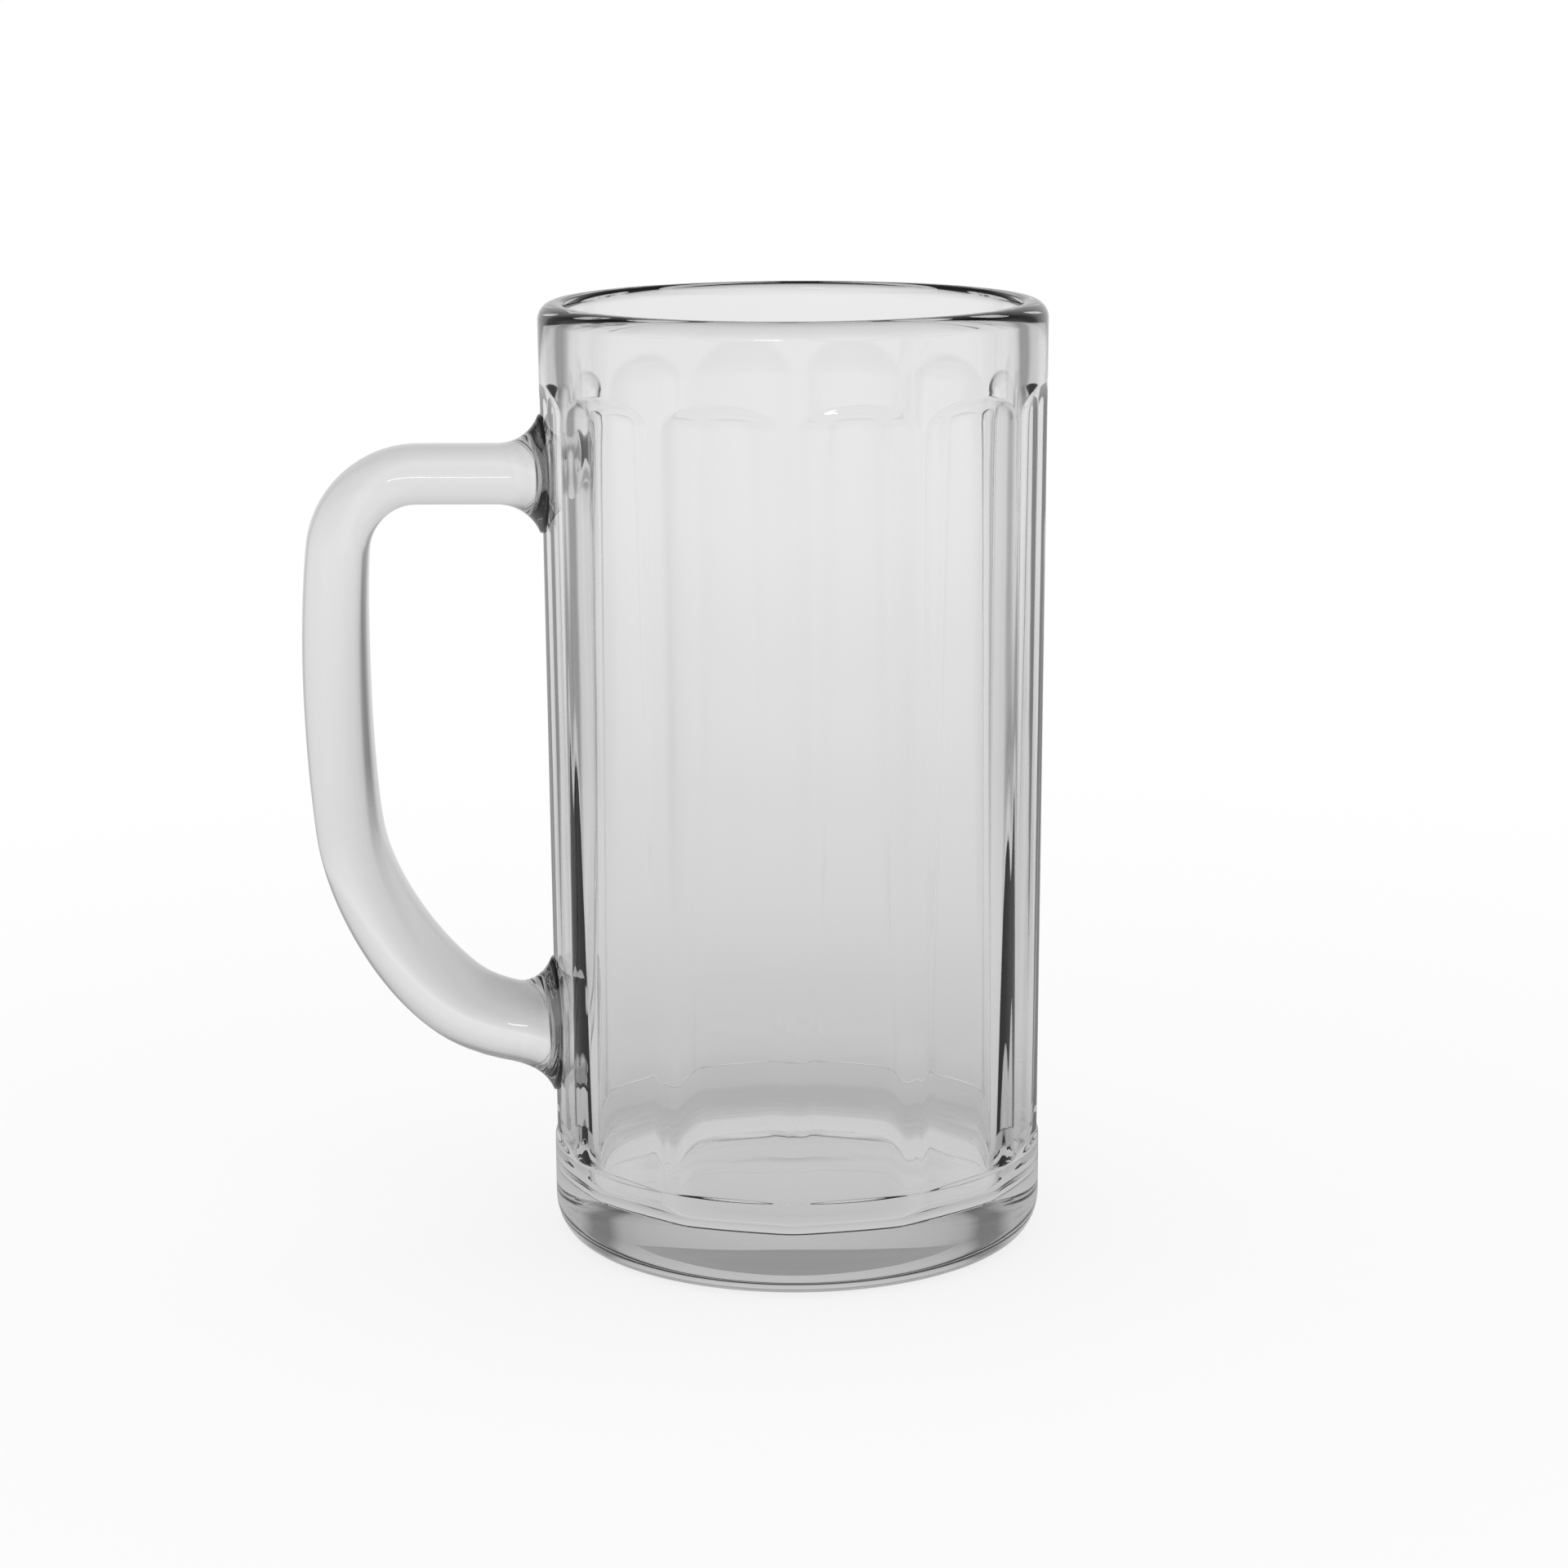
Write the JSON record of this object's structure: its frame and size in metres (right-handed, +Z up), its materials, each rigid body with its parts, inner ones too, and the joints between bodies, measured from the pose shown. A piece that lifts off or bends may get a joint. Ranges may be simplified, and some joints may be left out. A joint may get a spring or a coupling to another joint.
{
  "type": "faceted glass beer mug",
  "caption": "Tall clear glass beer mug with arched flat panels round its body, a plain round rim and foot, a thick base and a stuck-on D-shaped ear.",
  "frame": {"origin": "on the mug's axis, in the plane of the ring that it stands on", "axes": "+Z up along the body's axis, -X towards the ear, +Y to the far side as the picture sees it"},
  "size_m": [0.1265, 0.085, 0.16],
  "materials": {
    "body_glass": "clear pressed soda-lime glass, fire polished, slightly wavy",
    "ear_glass": "clear hot-formed soda-lime glass, fire polished"
  },
  "bodies": {
    "root": {"tumbler": "body_glass", "handle": "ear_glass"}
  },
  "joints": []
}
